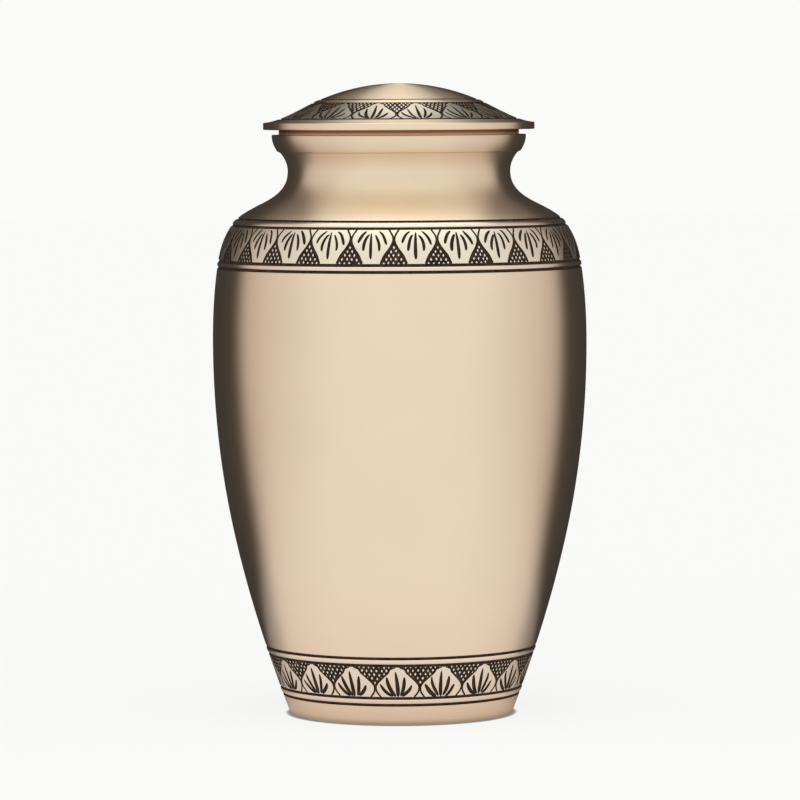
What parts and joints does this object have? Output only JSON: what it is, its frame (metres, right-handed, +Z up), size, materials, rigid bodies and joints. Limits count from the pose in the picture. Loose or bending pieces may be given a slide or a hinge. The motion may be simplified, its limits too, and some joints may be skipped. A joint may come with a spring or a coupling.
{
  "type": "cremation urn",
  "caption": "Turned hollow brass urn with tapering sides, round shoulder, narrow neck and a domed lift-off lid; leaf bands are engraved on foot, shoulder and lid.",
  "frame": {"origin": "on the urn's axis, at the underside of its foot", "axes": "+Z up along the axis of the urn; the pictured side faces -Y"},
  "size_m": [0.1584, 0.1584, 0.267],
  "materials": {
    "brushed_bronze": "satin, brushed round the axis, with engraving filled in matte black-brown"
  },
  "bodies": {
    "root": {"urn_body": "brushed_bronze", "lid": "brushed_bronze"}
  },
  "joints": []
}
